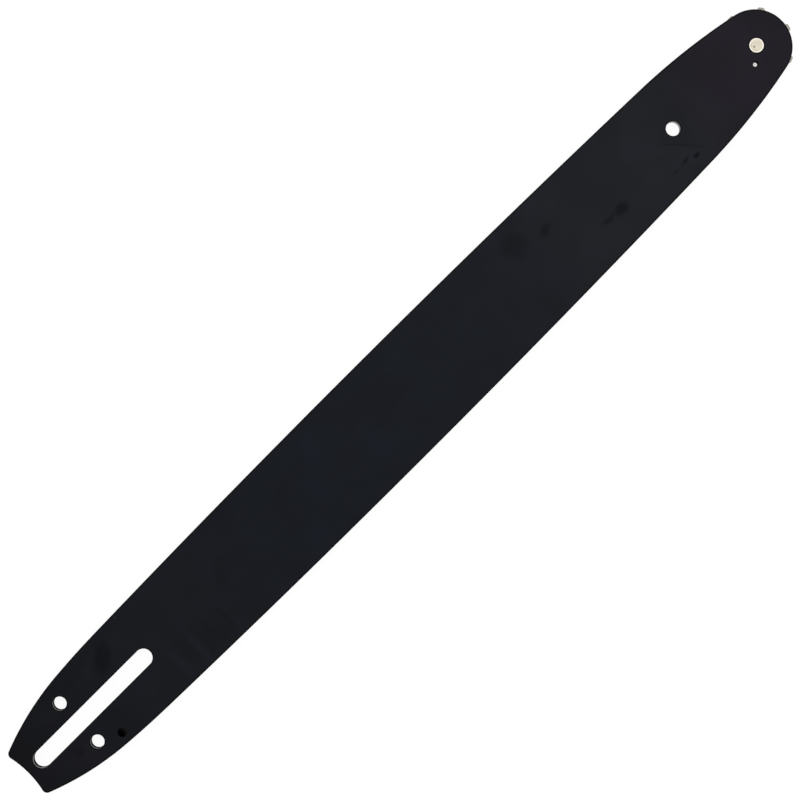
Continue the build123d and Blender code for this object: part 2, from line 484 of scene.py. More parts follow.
    def drifting_black(self, tree: bpy.types.NodeTree, place: bpy.types.NodeSocket) -> bpy.types.Node:
        """Colours the paint before anyone touched it.

        Args:
            tree: The paint's node tree.
            place: The socket that gives the point on the surface.

        Returns:
            The node that gives the colour.
        """
        along = add_node(tree, "SeparateXYZ", {0: place}).outputs["Y"]
        drift = add_node(
            tree, "TexNoise", {"Vector": place, "Scale": per_metre(self.drift_size), "Detail": GENTLE_NOISE}
        )
        centred = add_node(tree, "Math", {0: drift, 1: NOISE_MIDDLE}, operation="SUBTRACT")
        shifted = add_node(
            tree, "Math", {0: centred, 1: self.drift_reach * MM, 2: along}, operation="MULTIPLY_ADD"
        )
        blue, ink, slate, plum = (
            add_node(
                tree,
                "MapRange",
                {"Value": shifted, "From Min": start * MM, "From Max": end * MM},
                interpolation_type="SMOOTHSTEP",
            )
            for start, end in (self.blue_over, self.ink_over, self.slate_over, self.plum_over)
        )
        patches = add_node(
            tree, "TexNoise", {"Vector": place, "Scale": per_metre(self.violet_size), "Detail": SMOOTH_NOISE}
        )
        start, end = self.violet_over
        violet = add_node(
            tree,
            "MapRange",
            {"Value": patches, "From Min": start, "From Max": end, "To Max": self.violet_share},
            interpolation_type="SMOOTHSTEP",
        )
        colour = linear(self.tail_black)
        for share, black in (
            (blue, self.blue_black),
            (violet, self.violet_black),
            (ink, self.ink_black),
            (slate, self.slate_black),
            (plum, self.plum_black),
        ):
            colour = add_node(
                tree, "Mix", {"Factor": share, "A": colour, "B": linear(black)}, data_type="RGBA"
            )
        clouds = add_node(
            tree, "TexNoise", {"Vector": place, "Scale": per_metre(self.cloud_size), "Detail": FINE_NOISE}
        )
        start, end = self.cloud_over
        darkest, lightest = self.cloud_levels
        level = add_node(
            tree,
            "MapRange",
            {"Value": clouds, "From Min": start, "From Max": end, "To Min": darkest, "To Max": lightest},
        )
        return add_node(tree, "HueSaturation", {"Value": level, "Color": colour})

    @cache
    def material(self) -> bpy.types.Material:
        """Builds the enamel.

        Returns:
            The material.
        """
        material, tree = new_material("satin_black_stoving_enamel")
        place = add_node(tree, "TexCoord").outputs["Object"]
        dark = self.mark_mask(tree, place, Mark.BLOT, Mark.RUB)
        # The rim attribute marks where the painted edge shade goes
        rim = add_node(tree, "Attribute", attribute_name="rim").outputs["Fac"]
        dull = add_node(tree, "Math", {0: dark, 1: rim}, operation="MAXIMUM")
        colour = self.drifting_black(tree, place)
        # Painted sheen on wiped streaks, real blots and nicks, then painted shade along the edges
        for share, shade in (
            (self.mark_mask(tree, place, Mark.SHEEN), self.wiped),
            (dark, self.blotted),
            (self.mark_mask(tree, place, Mark.NICK), self.nicked),
            (rim, self.painted_edge_shade),
        ):
            colour = add_node(
                tree, "Mix", {"Factor": share, "A": colour, "B": linear(shade)}, data_type="RGBA"
            )
        dullness = add_node(
            tree, "MapRange", {"Value": dull, "To Min": self.roughness, "To Max": self.dull_roughness}
        )
        peel = add_node(
            tree, "TexNoise", {"Vector": place, "Scale": per_metre(self.peel_size), "Detail": SOFT_NOISE}
        )
        bump = add_node(tree, "Bump", {"Height": peel, "Distance": self.peel_height * MM})
        shader = add_node(
            tree,
            "BsdfPrincipled",
            {
                "Base Color": colour,
                "Roughness": dullness,
                "Specular IOR Level": self.specular,
                "Normal": bump,
            },
        )
        add_node(tree, "OutputMaterial", {"Surface": shader})
        return material


@dataclass(frozen=True)
class PunchedSteel:
    """Cold-rolled steel as a punch leaves it, on the wall of a hole through all three plates.

    It gives the eye one tone with drag lines down it in the front plate, another tone in the plates below,
    and dark seams where plate meets plate. Where the walls below are shaded, they are near-black painted
    shade that mirrors nothing, deep in the hole under the front band.

    Attributes:
        name: What the finish is.
        front: The colour of the front plate's wall.
        below: The colour of the walls under it.
        shaded_below: Whether those walls are painted near-black and not metal, as shade deep in the hole.
        shade_specular: How much that painted shade mirrors: nothing, so that it stays black.
        line: The colour in the drag lines and seams.
        roughness: The roughness of the burnished band.
        line_roughness: The roughness in the drag lines.
        drag_line_width: How far apart the drag lines are.
        drag_line_depth: How deep they are.
        drag_line_over: The values of their noise where a line begins and where it is full.
        drag_line_share: How much of the line's colour shows.
        seam_width: How wide a seam shows.
    """

    name: str
    front: str
    below: str
    shaded_below: bool
    shade_specular: float = 0.0
    line: str = "#1a1917"
    roughness: float = 0.4
    line_roughness: float = 0.52
    drag_line_width: float = 0.4
    drag_line_depth: float = 0.02
    drag_line_over: tuple[float, float] = (0.45, 0.75)
    drag_line_share: float = 0.6
    seam_width: float = 0.14

    @cache
    def material(self) -> bpy.types.Material:
        """Builds the punched wall.

        Returns:
            The material.
        """
        material, tree = new_material(self.name)
        place = add_node(tree, "TexCoord").outputs["Object"]
        height = add_node(tree, "SeparateXYZ", {0: place}).outputs["Z"]
        low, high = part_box("front_side_plate")
        fine, tall = per_metre(self.drag_line_width), 1 / (high.z - low.z)
        stretched = add_node(tree, "Mapping", {"Vector": place, "Scale": (fine, fine, tall)})
        lines = add_node(tree, "TexNoise", {"Vector": stretched, "Scale": 1.0, "Detail": FINE_NOISE})
        start, end = self.drag_line_over
        dragged = add_node(tree, "MapRange", {"Value": lines, "From Min": start, "From Max": end})
        line_share = add_node(tree, "Math", {0: dragged, 1: self.drag_line_share}, operation="MULTIPLY")
        in_front = add_node(tree, "Math", {0: height, 1: low.z}, operation="GREATER_THAN")
        above_middle = add_node(tree, "Math", {0: height}, operation="ABSOLUTE")
        off_seam = add_node(tree, "Math", {0: above_middle, 1: low.z}, operation="SUBTRACT")
        off_seam = add_node(tree, "Math", {0: off_seam}, operation="ABSOLUTE")
        in_seam = add_node(
            tree, "MapRange", {"Value": off_seam, "From Min": self.seam_width * MM, "From Max": 0.0}
        )
        colour = linear(self.below)
        for share, shade in ((in_front, self.front), (line_share, self.line), (in_seam, self.line)):
            colour = add_node(
                tree, "Mix", {"Factor": share, "A": colour, "B": linear(shade)}, data_type="RGBA"
            )
        dullness = add_node(
            tree, "MapRange", {"Value": dragged, "To Min": self.roughness, "To Max": self.line_roughness}
        )
        bump = add_node(tree, "Bump", {"Height": lines, "Distance": self.drag_line_depth * MM})
        shader = add_node(
            tree,
            "BsdfPrincipled",
            {
                "Base Color": colour,
                # Below the front plate, a shaded wall turns to dark non-metal: painted shade
                "Metallic": in_front if self.shaded_below else 1.0,
                "Roughness": dullness,
                "Specular IOR Level": self.shade_specular,
                "Normal": bump,
            },
        )
        add_node(tree, "OutputMaterial", {"Surface": shader})
        return material


@dataclass(frozen=True)
class OiledSteel:
    """Cold-rolled strip under a film of storage oil, down in the chain groove.

    It gives the eye a dull grey with long mill lines, brown patches that are darker and wetter where the oil
    lies, and painted shade, black, at the bottom of the oil inlets, deepest towards the tail.

    Attributes:
        steel: The colour of the dry steel.
        oil: The colour under the film of oil.
        inlet_shade: The colour of the painted shade at the bottom of an oil inlet.
        inlet_shade_shift: How far the middle of that shade lies toward the tail from the inlet's axis.
        inlet_shade_over: How far from its middle the shade ends, and how far it is full.
        mill_line_width: How far apart the mill lines are.
        mill_line_length: How long they are.
        mill_line_height: How deep they are.
        mill_line_over: The values of their noise where a line begins and where it is full.
        mill_line_share: How much of the oil's colour lies in a line.
        oil_patch_size: The size of the oily patches.
        oil_patch_bend: How much their outlines curl.
        oil_patch_over: The values of their noise where a patch begins and where it is full.
        dry_roughness: The roughness of the dry steel.
        wet_roughness: The roughness of the film.
    """

    steel: str = "#4a4844"
    oil: str = "#1b1815"
    inlet_shade: str = "#030408"
    inlet_shade_shift: float = 1.5
    inlet_shade_over: tuple[float, float] = (5.2, 1.2)
    mill_line_width: float = 0.25
    mill_line_length: float = 22.0
    mill_line_height: float = 0.008
    mill_line_over: tuple[float, float] = (0.3, 0.7)
    mill_line_share: float = 0.4
    oil_patch_size: float = 9.0
    oil_patch_bend: float = 0.6
    oil_patch_over: tuple[float, float] = (0.4, 0.65)
    dry_roughness: float = 0.5
    wet_roughness: float = 0.3

    @cache
    def material(self) -> bpy.types.Material:
        """Builds the oiled strip.

        Returns:
            The material.
        """
        material, tree = new_material("oiled_cold_rolled_steel")
        place = add_node(tree, "TexCoord").outputs["Object"]
        width, length = per_metre(self.mill_line_width), per_metre(self.mill_line_length)
        stretched = add_node(tree, "Mapping", {"Vector": place, "Scale": (width, length, width)})
        lines = add_node(tree, "TexNoise", {"Vector": stretched, "Scale": 1.0, "Detail": FINE_NOISE})
        start, end = self.mill_line_over
        in_line = add_node(
            tree,
            "MapRange",
            {"Value": lines, "From Min": start, "From Max": end, "To Max": self.mill_line_share},
        )
        patches = add_node(
            tree,
            "TexNoise",
            {
                "Vector": place,
                "Scale": per_metre(self.oil_patch_size),
                "Detail": ROUGH_NOISE,
                "Distortion": self.oil_patch_bend,
            },
        )
        start, end = self.oil_patch_over
        wet = add_node(
            tree,
            "MapRange",
            {"Value": patches, "From Min": start, "From Max": end},
            interpolation_type="SMOOTHSTEP",
        )
        # Painted shade at the bottom of each oil inlet, darkest a little towards the tail
        folded = add_node(tree, "VectorMath", {0: place}, operation="ABSOLUTE")
        level_part = add_node(tree, "VectorMath", {0: folded, 1: LEVEL_PART}, operation="MULTIPLY")
        middle = metres(OIL_INLET.across, OIL_INLET.along - self.inlet_shade_shift, 0.0)
        from_middle = add_node(tree, "VectorMath", {0: level_part, 1: middle}, operation="DISTANCE")
        end, full = self.inlet_shade_over
        in_inlet_shade = add_node(
            tree, "MapRange", {"Value": from_middle, "From Min": end * MM, "From Max": full * MM}
        )
        colour = linear(self.steel)
        for share, shade in ((in_line, self.oil), (wet, self.oil), (in_inlet_shade, self.inlet_shade)):
            colour = add_node(
                tree, "Mix", {"Factor": share, "A": colour, "B": linear(shade)}, data_type="RGBA"
            )
        dullness = add_node(
            tree, "MapRange", {"Value": wet, "To Min": self.dry_roughness, "To Max": self.wet_roughness}
        )
        bump = add_node(tree, "Bump", {"Height": lines, "Distance": self.mill_line_height * MM})
        shader = add_node(
            tree,
            "BsdfPrincipled",
            {"Base Color": colour, "Metallic": 1.0, "Roughness": dullness, "Normal": bump},
        )
        add_node(tree, "OutputMaterial", {"Surface": shader})
        return material


@dataclass(frozen=True)
class GroundSteel:
    """Hardened steel with a ground finish, as on a sprocket, a race or a roller.

    It gives the eye a pale grey, clouded a little, with fine lines that run one way. In dark brown it stands
    for grease with painted shade on a bearing's round corners.

    Attributes:
        name: What the finish is.
        bright: The colour between the lines.
        dark: The colour in the lines.
        roughness: Its middle roughness.
        lay: Which way the lines run.
        line_width: The spacing of the lines. Real ones are a tenth of this, too fine to show.
        line_length: How long a line is, where they run straight.
        cloud_size: The size of the clouds in the finish.
        cloud_over: The values of their noise that are smoothest and roughest.
        shade_over: The values of lines and clouds together that are darkest and brightest.
        roughness_swing: How far the clouds change the roughness either way.
        line_height: How deep the lines are.
    """

    name: str
    bright: str
    dark: str
    roughness: float
    lay: Lay
    line_width: float
    line_length: float = 12.0
    cloud_size: float = 5.0
    cloud_over: tuple[float, float] = (0.3, 0.7)
    shade_over: tuple[float, float] = (0.14, 0.4)
    roughness_swing: float = 0.06
    line_height: float = 0.005

    @cache
    def material(self) -> bpy.types.Material:
        """Builds the ground steel.

        Returns:
            The material.
        """
        material, tree = new_material(self.name)
        place = add_node(tree, "TexCoord").outputs["Object"]
        from_axis = add_node(tree, "VectorMath", {0: place, 1: nose_axis()}, operation="SUBTRACT")
        fine, long = per_metre(self.line_width), per_metre(self.line_length)
        if self.lay is Lay.STRAIGHT:
            stretched = add_node(tree, "Mapping", {"Vector": from_axis, "Scale": (fine, long, fine)})
            lines = add_node(tree, "TexNoise", {"Vector": stretched, "Scale": 1.0, "Detail": FINE_NOISE})
        else:
            level_part = add_node(tree, "VectorMath", {0: from_axis, 1: LEVEL_PART}, operation="MULTIPLY")
            radius = add_node(tree, "VectorMath", {0: level_part}, operation="LENGTH")
            lines = add_node(
                tree, "TexNoise", {"W": radius, "Scale": fine, "Detail": FINE_NOISE}, noise_dimensions="1D"
            )
        clouds = add_node(
            tree,
            "TexNoise",
            {"Vector": from_axis, "Scale": per_metre(self.cloud_size), "Detail": ROUGH_NOISE},
        )
        shade = add_node(tree, "Math", {0: lines, 1: clouds}, operation="MULTIPLY")
        start, end = self.shade_over
        share = add_node(tree, "MapRange", {"Value": shade, "From Min": start, "From Max": end})
        colour = add_node(
            tree, "Mix", {"Factor": share, "A": linear(self.dark), "B": linear(self.bright)}, data_type="RGBA"
        )
        start, end = self.cloud_over
        dullness = add_node(
            tree,
            "MapRange",
            {
                "Value": clouds,
                "From Min": start,
                "From Max": end,
                "To Min": self.roughness - self.roughness_swing,
                "To Max": self.roughness + self.roughness_swing,
            },
        )
        bump = add_node(tree, "Bump", {"Height": lines, "Distance": self.line_height * MM})
        shader = add_node(
            tree,
            "BsdfPrincipled",
            {"Base Color": colour, "Metallic": 1.0, "Roughness": dullness, "Normal": bump},
        )
        add_node(tree, "OutputMaterial", {"Surface": shader})
        return material


@dataclass(frozen=True)
class RivetSteel:
    """Soft rivet steel, upset cold and dressed flush with the plate.

    It gives the eye a warm pale disc: a bright burnished rim, a duller mottled middle, one small dark pit,
    and a dark line round the edge, which is painted shade in the seam with the plate.

    Attributes:
        rim: The colour of the rim.
        middle: The colour of the middle.
        mottle: The colour of the mottling there.
        pit: The colour in the pit.
        seam: The colour of the painted shade in the seam.
        mottle_size: The size of the mottling.
        mottle_bend: How much its outlines curl.
        mottle_over: The values of its noise where a patch begins and where it is full.
        rim_over: The radii where the rim begins and where it is full.
        gap_shade_over: The radii where that painted shade begins and where it is full.
        rim_roughness: The roughness of the rim.
        middle_roughness: The roughness of the middle.
        dent_depth: How deep the mottling and the pit are.
        pit_across: The pit's place along X, from the rivet's axis.
        pit_along: Its place along Y.
        pit_over: The distances from its middle where it ends and where it is full.
    """

    rim: str = "#f9f5ea"
    middle: str = "#e8e0cf"
    mottle: str = "#d3c9b5"
    pit: str = "#17110c"
    seam: str = "#080604"
    mottle_size: float = 1.1
    mottle_bend: float = 0.5
    mottle_over: tuple[float, float] = (0.38, 0.62)
    rim_over: tuple[float, float] = (2.9, 3.2)
    gap_shade_over: tuple[float, float] = (3.4, 3.5)
    rim_roughness: float = 0.36
    middle_roughness: float = 0.46
    dent_depth: float = 0.03
    pit_across: float = -0.30
    pit_along: float = -1.34
    pit_over: tuple[float, float] = (0.48, 0.19)

    @cache
    def material(self) -> bpy.types.Material:
        """Builds the rivet's steel.

        Returns:
            The material.
        """
        material, tree = new_material("upset_rivet_steel")
        place = add_node(tree, "TexCoord").outputs["Object"]
        from_axis = add_node(tree, "VectorMath", {0: place, 1: nose_axis()}, operation="SUBTRACT")
        level_part = add_node(tree, "VectorMath", {0: from_axis, 1: LEVEL_PART}, operation="MULTIPLY")
        radius = add_node(tree, "VectorMath", {0: level_part}, operation="LENGTH")
        mottle = add_node(
            tree,
            "TexNoise",
            {
                "Vector": from_axis,
                "Scale": per_metre(self.mottle_size),
                "Detail": FINE_NOISE,
                "Distortion": self.mottle_bend,
            },
        )
        start, end = self.mottle_over
        patchy = add_node(tree, "MapRange", {"Value": mottle, "From Min": start, "From Max": end})
        # in_seam is the painted shade round the head's edge
        on_rim, in_seam = (
            add_node(
                tree,
                "MapRange",
                {"Value": radius, "From Min": start * MM, "From Max": end * MM},
                interpolation_type="SMOOTHSTEP",
            )
            for start, end in (self.rim_over, self.gap_shade_over)
        )
        pit_middle = metres(self.pit_across, self.pit_along, 0.0)
        to_pit = add_node(tree, "VectorMath", {0: level_part, 1: pit_middle}, operation="DISTANCE")
        end, full = self.pit_over
        in_pit = add_node(
            tree,
            "MapRange",
            {"Value": to_pit, "From Min": end * MM, "From Max": full * MM},
            interpolation_type="SMOOTHSTEP",
        )
        colour = linear(self.middle)
        for share, shade in (
            (patchy, self.mottle),
            (on_rim, self.rim),
            (in_pit, self.pit),
            (in_seam, self.seam),
        ):
            colour = add_node(
                tree, "Mix", {"Factor": share, "A": colour, "B": linear(shade)}, data_type="RGBA"
            )
        dullness = add_node(
            tree, "MapRange", {"Value": on_rim, "To Min": self.middle_roughness, "To Max": self.rim_roughness}
        )
        dents = add_node(tree, "Math", {0: mottle, 1: in_pit}, operation="SUBTRACT")
        bump = add_node(tree, "Bump", {"Height": dents, "Distance": self.dent_depth * MM})
        shader = add_node(
            tree,
            "BsdfPrincipled",
            {"Base Color": colour, "Metallic": 1.0, "Roughness": dullness, "Normal": bump},
        )
        add_node(tree, "OutputMaterial", {"Surface": shader})
        return material


def merged_copy(node: str) -> bmesh.types.BMesh:
    """Copies a CAD node's loose triangles into a new mesh, merges them, and dissolves seams in flat faces.

    Args:
        node: The CAD node's name.

    Returns:
        The mesh, closed and free of needless edges.
    """
    mesh = bmesh.new()
    mesh.from_mesh(frame["nodes"][node].data)
    bmesh.ops.remove_doubles(mesh, verts=mesh.verts, dist=MERGE_DISTANCE)
    bmesh.ops.dissolve_limit(
        mesh, angle_limit=FLAT_WITHIN, verts=mesh.verts, edges=mesh.edges, use_dissolve_boundaries=False
    )
    return mesh


def sharp_edges(mesh: bmesh.types.BMesh) -> list[bmesh.types.BMEdge]:
    """Lists the edges where two faces meet at an angle, and not along a curved wall."""
    return [edge for edge in mesh.edges if edge.calc_face_angle(0.0) > EDGE_FROM]


def arc_turn(chord: bmesh.types.BMEdge, rims: set[bmesh.types.BMEdge]) -> float:
    """Works out how far the arc turns that a chord of a rim stands for.

    Chords of one length, end to end, share an arc, which turns at each corner between them by as much as one
    chord spans. A chord with no such neighbour is a straight edge.

    Args:
        chord: The edge, level with the bar.
        rims: All such edges.

    Returns:
        The turn in radians, clockwise from the chord's first corner to its second.
    """
    first, second = chord.verts
    turns = []
    for corner in chord.verts:
        for other in corner.link_edges:
            alike = math.isclose(other.calc_length(), chord.calc_length(), rel_tol=CHORDS_ALIKE)
            if other is not chord and other in rims and alike:
                away = (other.other_vert(corner).co - corner.co).xy
                run = (second.co - first.co).xy
                turns.append(run.angle_signed(away) if corner is second else (-away).angle_signed(run))
    mean = sum(turns) / max(len(turns), 1)
    return mean if abs(mean) < EDGE_FROM else 0.0


def on_arc(first: Vector, second: Vector, turn: float, share: float) -> Vector:
    """Finds a point of the level arc that spans a chord.

    Args:
        first: Where the chord starts.
        second: Where it ends.
        turn: How far the arc turns, in radians, clockwise.
        share: How far along it the point is, from 0 to 1.

    Returns:
        The point.
    """
    if abs(turn) < FLAT_WITHIN:
        return first.lerp(second, share)
    run = second - first
    outward = Vector((-run.y, run.x, 0.0)).normalized()
    radius = run.length / (2 * math.sin(turn / 2))
    passed = turn * (share - 0.5)
    return (
        (first + second) / 2
        + run.normalized() * radius * math.sin(passed)
        + outward * radius * (math.cos(passed) - math.cos(turn / 2))
    )


def refine_arcs(mesh: bmesh.types.BMesh, node: str, cuts: int) -> None:
    """Cuts the chords of the mesh's level rims, and moves each new corner out to the chord's arc.

    Args:
        mesh: The mesh to shape.
        node: The CAD node that it came from, whose box it stays in.
        cuts: How many corners each chord gains.
    """
    rims = [
        edge for edge in sharp_edges(mesh) if abs(edge.verts[0].co.z - edge.verts[1].co.z) < MERGE_DISTANCE
    ]
    level = set(rims)
    shares = [(cut + 1) / (cuts + 1) for cut in range(cuts)]
    low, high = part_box(node)
    arc_points = []
    places = KDTree(len(rims) * cuts)
    for edge in rims:
        first, second = (vert.co.copy() for vert in edge.verts)
        turn = arc_turn(edge, level)
        for share in shares:
            places.insert(first.lerp(second, share), len(arc_points))
            point = on_arc(first, second, turn, share)
            arc_points.append(Vector(min(max(p, a), b) for p, a, b in zip(point, low, high)))
    places.balance()
    bmesh.ops.subdivide_edges(mesh, edges=rims, cuts=cuts, use_grid_fill=True)
    for vert in mesh.verts:
        _, number, distance = places.find(vert.co)
        if distance < MERGE_DISTANCE:
            vert.co = arc_points[number]


def round_rims(mesh: bmesh.types.BMesh, radius: float, segments: int) -> list[bmesh.types.BMFace]:
    """Rounds every edge where two faces meet at an angle.

    Args:
        mesh: The mesh to shape.
        radius: How far each edge is cut back, in millimetres.
        segments: How many strips make the round.

    Returns:
        The faces of the rounds.
    """
    made = bmesh.ops.bevel(
        mesh,
        geom=sharp_edges(mesh),
        offset=radius * MM,
        offset_type="OFFSET",
        affect="EDGES",
        segments=segments,
        profile=0.5,
        material=-1,
        clamp_overlap=True,
    )
    return made["faces"]


def spun_ring(centre: Vector, profile: Iterable[tuple[float, float]], steps: int) -> bmesh.types.BMesh:
    """Turns a profile round an upright axis, the way a lathe does.

    Args:
        centre: The point on the axis that heights are measured from, in metres.
        profile: Radius and height of each corner, in millimetres, in order from one end to the other.
        steps: How many steps make the full turn.

    Returns:
        The turned mesh, with its seam and its poles closed.
    """
    mesh = bmesh.new()
    corners = [mesh.verts.new(centre + metres(radius, 0.0, height)) for radius, height in profile]
    edges = [mesh.edges.new(pair) for pair in zip(corners, corners[1:])]
    bmesh.ops.spin(
        mesh,
        geom=corners + edges,
        cent=centre,
        axis=(0.0, 0.0, 1.0),
        angle=math.tau,
        steps=steps,
        use_merge=True,
    )
    bmesh.ops.remove_doubles(mesh, verts=mesh.verts, dist=MERGE_DISTANCE)
    bmesh.ops.recalc_face_normals(mesh, faces=mesh.faces)
    return mesh


@dataclass(frozen=True)
class Fitting:
    """How a finished piece belongs to the frame.

    Attributes:
        name: The piece's own name.
        body: The CAD body that it rides on.
        node: The CAD node that it stands for.
        slot: The record's material slot that its finish belongs to. It is not used.
    """

    name: str
    body: str
    node: str
    slot: str


def fit_piece(mesh: bmesh.types.BMesh, fitting: Fitting, materials: Iterable[bpy.types.Material]) -> None:
    """Makes an object of a finished mesh, smooths its shading, dresses it and seats it in the frame.

    Args:
        mesh: The finished mesh, in the frame's place. It is freed.
        fitting: The piece's name, body, node and slot.
        materials: Its materials, in the order of its faces' numbers.
    """
    for face in mesh.faces:
        face.smooth = True
    for edge in mesh.edges:
        edge.smooth = edge.calc_face_angle(0.0) < SMOOTH_WITHIN
    data = bpy.data.meshes.new(fitting.name)
    mesh.to_mesh(data)
    mesh.free()
    for material in materials:
        data.materials.append(material)
    piece = bpy.data.objects.new(fitting.name, data)
    bpy.context.scene.collection.objects.link(piece)
    even = piece.modifiers.new("flat_faces_stay_flat", "WEIGHTED_NORMAL")
    even.keep_sharp = True
    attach(piece, fitting.body)
    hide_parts(fitting.node)
    LOG.info("%s stands for %s, with %d faces", fitting.name, fitting.node, len(data.polygons))


@dataclass(frozen=True)
class PlateFinishes:
    """The finishes that the three plates share.

    Attributes:
        enamel: The paint on the side plates.
        clean_wall: The wall of the hanging hole.
        shaded_wall: The wall of the tensioner holes, painted black as shade under the front plate.
        slot_wall: The wall of the slot, the same with a brighter front band.
        bare: The unpainted steel in the groove.
    """

    enamel: BlackEnamel = BlackEnamel()
    clean_wall: PunchedSteel = PunchedSteel("punched_cold_rolled_steel", "#2e2d2a", "#87847b", False)
    shaded_wall: PunchedSteel = PunchedSteel("punched_steel_shaded_below", "#484b4d", "#0b0a09", True)
    slot_wall: PunchedSteel = PunchedSteel("punched_steel_brighter_in_front_shaded_below", "#777778", "#0b0a09", True)
    bare: OiledSteel = OiledSteel()

    def sort_faces(self, mesh: bmesh.types.BMesh, groove_direction: int) -> None:
        """Gives each face of a plate the number of its finish.

        Args:
            mesh: The plate.
            groove_direction: The sign of the way along Z that a groove wall looks, or 0 where there is none.
        """
        openings = punched_openings()
        for face in mesh.faces:
            middle = face.calc_center_median()
            surface = PlateSurface.FACE
            if face.normal.z * groove_direction > LEVEL_FROM:
                surface = PlateSurface.GROOVE_WALL
            elif abs(face.normal.z) < UPRIGHT_UP_TO:
                around = (hole.surface for hole in openings if hole.holds(middle, WALL_WITHIN))
                surface = next(around, surface)
            face.material_index = surface.value


@dataclass
class SidePlates:
    """The two painted plates, whose edges stand out as the rails that the chain runs on.

    Attributes:
        arc_cuts: How many corners each chord of a rim gains.
        rim_radius: How round the edges are under the paint.
        rim_segments: How many strips make that round.
        painted_edge_shade: How far the painted shade reaches in from an edge of the painted face.
        finishes: The finishes of the plates.
    """

    arc_cuts: int = 3
    rim_radius: float = 0.07
    rim_segments: int = 3
    painted_edge_shade: float = 0.75
    finishes: PlateFinishes = PlateFinishes()

    def build(self) -> None:
        """Builds the front plate and the back plate."""
        for side in Side:
            self.build_plate(side)

    def build_plate(self, side: Side) -> None:
        """Builds one plate with rounded rims.

        Args:
            side: Which face of the bar it is.
        """
        node = f"{side.name.lower()}_side_plate"
        mesh = merged_copy(node)
        refine_arcs(mesh, node, self.arc_cuts)
        self.round_and_shade_edges(mesh, side)
        self.finishes.sort_faces(mesh, -side.value)
        self.dress(mesh, Fitting(f"{side.name.lower()}_rail_plate", "bar", node, "side_plate_paint"))

    def round_and_shade_edges(self, mesh: bmesh.types.BMesh, side: Side) -> None:
        """Rounds the rims, frames the painted face with a strip, and notes both in the "rim" attribute, which
        the enamel paints with its painted edge shade.

        A feed hole gets no strip, and its wall is noted too, so that it takes the painted shade as well.

        Args:
            mesh: The plate.
            side: Which face of the bar it is.
        """
        rim = mesh.loops.layers.float.new("rim")
        rounds = round_rims(mesh, self.rim_radius, self.rim_segments)
        painted = [face for face in mesh.faces if face.normal.z * side.value > math.cos(FLAT_WITHIN)]
        frame_strip = bmesh.ops.inset_region(
            mesh, faces=painted, thickness=self.painted_edge_shade * MM, use_boundary=True, use_even_offset=True
        )["faces"]
        inner = {vert for face in painted for vert in face.verts}
        slopes = [face for face in mesh.faces if UPRIGHT_UP_TO < abs(face.normal.z) < LEVEL_FROM]
        lined = {*rounds, *slopes, *frame_strip}
        # The walls of the feed holes take the painted edge shade, black
        for hole in (OIL_INLET, GREASE_HOLE):
            feed = Opening(hole.across * side.value, hole.along, hole.radius)
            lined -= {face for face in frame_strip if feed.holds(face.calc_center_median(), self.painted_edge_shade)}
            lined |= {
                face
                for face in mesh.faces
                if abs(face.normal.z) < UPRIGHT_UP_TO and feed.holds(face.calc_center_median(), WALL_WITHIN)
            }
        for face in lined:
            for corner in face.loops:
                corner[rim] = 0.0 if corner.vert in inner else 1.0

    def dress(self, mesh: bmesh.types.BMesh, fitting: Fitting) -> None:
        """Paints a plate, and leaves its hole walls and its groove wall bare.

        Args:
            mesh: The plate.
            fitting: How it belongs to the frame.
        """
        worn = self.finishes
        finishes = (worn.enamel, worn.clean_wall, worn.shaded_wall, worn.slot_wall, worn.bare)
        fit_piece(mesh, fitting, [finish.material() for finish in finishes])


@dataclass
class Core:
    """The plate between the rails, whose edge is the bottom of the chain groove.

    Attributes:
        arc_cuts: How many corners each chord of a rim gains.
        rim_radius: How round its edges are.
        rim_segments: How many strips make that round.
        finishes: The finishes of the plates.
    """

    arc_cuts: int = 3
    rim_radius: float = 0.05
    rim_segments: int = 2
    finishes: PlateFinishes = PlateFinishes()

    def build(self) -> None:
        """Builds the core."""
        mesh = merged_copy("core_plate")
        refine_arcs(mesh, "core_plate", self.arc_cuts)
        round_rims(mesh, self.rim_radius, self.rim_segments)
        self.finishes.sort_faces(mesh, 0)
        self.dress(mesh)

    def dress(self, mesh: bmesh.types.BMesh) -> None:
        """Leaves the core bare and oily, inside its holes too.

        Args:
            mesh: The core.
        """
        worn = self.finishes
        finishes = (worn.bare, worn.clean_wall, worn.shaded_wall, worn.slot_wall)
        fitting = Fitting("groove_core", "bar", "core_plate", "core_steel")
        fit_piece(mesh, fitting, [finish.material() for finish in finishes])


@dataclass
class NoseSprocket:
    """The seven-tooth sprocket that carries the chain round the nose.

    Attributes:
        arc_cuts: How many corners each chord of its outline gains.
        rim_radius: How round its stamped edges are.
        rim_segments: How many strips make that round.
        steel: Its ground finish.
    """

    arc_cuts: int = 2
    rim_radius: float = 0.14
    rim_segments: int = 3
    steel: GroundSteel = GroundSteel("ground_sprocket_steel", "#b5b2a9", "#8a8780", 0.36, Lay.STRAIGHT, 0.3)

    def build(self) -> None:
        """Builds the sprocket."""
        mesh = merged_copy("nose_sprocket")
        refine_arcs(mesh, "nose_sprocket", self.arc_cuts)
        round_rims(mesh, self.rim_radius, self.rim_segments)
        self.dress(mesh)

    def dress(self, mesh: bmesh.types.BMesh) -> None:
        """Grinds the sprocket's faces.

        Args:
            mesh: The sprocket.
        """
        fitting = Fitting("toothed_sprocket", "sprocket", "nose_sprocket", "sprocket_steel")
        fit_piece(mesh, fitting, [self.steel.material()])


